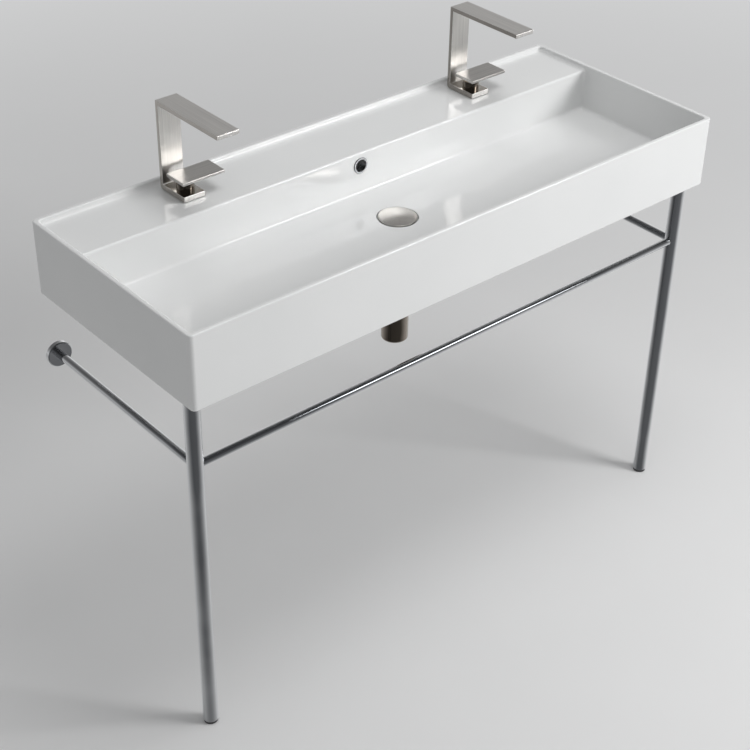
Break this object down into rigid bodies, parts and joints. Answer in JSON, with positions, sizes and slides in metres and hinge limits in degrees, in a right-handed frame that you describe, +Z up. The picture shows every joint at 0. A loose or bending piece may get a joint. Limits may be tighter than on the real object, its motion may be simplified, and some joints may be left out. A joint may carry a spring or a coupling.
{
  "type": "console bathroom sink",
  "caption": "Wide rectangular ceramic washbasin with a sunk tap deck, lever mixers, a bottle trap and chromed tube legs joined by a towel rail.",
  "frame": {"origin": "on the floor, under the middle of the basin's outline", "axes": "+X to the user's right along the basin, +Y towards the wall, +Z up"},
  "size_m": [1.214, 0.46, 1.018],
  "materials": {
    "glazed_ceramic": "gloss glaze",
    "chrome": "polished",
    "brushed_nickel": "fine brushed",
    "polished_nickel": "polished nickel",
    "brass": "turned",
    "steel": "plain",
    "rubber": "matte",
    "dark_plastic": "moulded",
    "white_plastic": "moulded"
  },
  "bodies": {
    "sink": {"back_nut": "brass", "basin": "glazed_ceramic", "drain_body": "polished_nickel", "drain_gasket": "rubber", "flange_cover_left": "chrome", "flange_cover_right": "chrome", "foot_inserts": "white_plastic", "front_rail": "chrome", "inlet_nut": "polished_nickel", "inlet_tube": "polished_nickel", "inlet_washer": "rubber", "leg_left": "chrome", "leg_pads": "rubber", "leg_plugs": "white_plastic", "leg_right": "chrome", "mixer_left_base_gasket": "rubber", "mixer_left_body": "brushed_nickel", "mixer_left_cartridge": "white_plastic", "mixer_left_clamp_nut": "brass", "mixer_left_clamp_washer": "rubber", "mixer_left_collar": "polished_nickel", "mixer_left_outlet": "dark_plastic", "mixer_left_shank": "brass", "mixer_right_base_gasket": "rubber", "mixer_right_body": "brushed_nickel", "mixer_right_cartridge": "white_plastic", "mixer_right_clamp_nut": "brass", "mixer_right_clamp_washer": "rubber", "mixer_right_collar": "polished_nickel", "mixer_right_outlet": "dark_plastic", "mixer_right_shank": "brass", "outlet_nut": "polished_nickel", "outlet_pipe": "polished_nickel", "outlet_washer": "rubber", "overflow_ring": "chrome", "push_guide": "white_plastic", "rail_pins": "steel", "side_rail_left": "chrome", "side_rail_right": "chrome", "trap_cup": "polished_nickel", "trap_head": "polished_nickel", "trap_seal": "rubber", "trap_top_nut": "polished_nickel", "wall_plates": "steel", "wall_rosette": "polished_nickel", "waste_washer": "rubber"},
    "drain_plug": {"drain_cap": "brushed_nickel", "cap_seal": "rubber"},
    "left_turret": {"mixer_left_turret": "brass", "mixer_left_pivot_pin": "steel"},
    "left_lever": {"mixer_left_spindle": "brass", "mixer_left_lever": "brushed_nickel", "mixer_left_lever_grub": "steel"},
    "left_foot": {"foot_left": "dark_plastic"},
    "right_turret": {"mixer_right_turret": "brass", "mixer_right_pivot_pin": "steel"},
    "right_lever": {"mixer_right_spindle": "brass", "mixer_right_lever": "brushed_nickel", "mixer_right_lever_grub": "steel"},
    "right_foot": {"foot_right": "dark_plastic"}
  },
  "joints": [
    {"name": "left_lever_swing", "type": "hinge", "parent": "sink", "child": "left_turret", "pos_m": [-0.34, 0.16, 0.869], "axis": [0, 0, 1], "range_deg": [-45, 25]},
    {"name": "left_lever_lift", "type": "hinge", "parent": "left_turret", "child": "left_lever", "pos_m": [-0.34, 0.16, 0.869], "axis": [0, -1, 0], "range_deg": [0, 20]},
    {"name": "left_foot_screw", "type": "slide", "parent": "sink", "child": "left_foot", "axis": [0, 0, -1], "range_m": [0, 0.012]},
    {"name": "right_lever_swing", "type": "hinge", "parent": "sink", "child": "right_turret", "pos_m": [0.34, 0.16, 0.869], "axis": [0, 0, 1], "range_deg": [-45, 25]},
    {"name": "right_lever_lift", "type": "hinge", "parent": "right_turret", "child": "right_lever", "pos_m": [0.34, 0.16, 0.869], "axis": [0, -1, 0], "range_deg": [0, 20]},
    {"name": "right_foot_screw", "type": "slide", "parent": "sink", "child": "right_foot", "axis": [0, 0, -1], "range_m": [0, 0.012]},
    {"name": "drain_cap_lift", "type": "slide", "parent": "sink", "child": "drain_plug", "axis": [0, 0, 1], "range_m": [0, 0.008]}
  ]
}
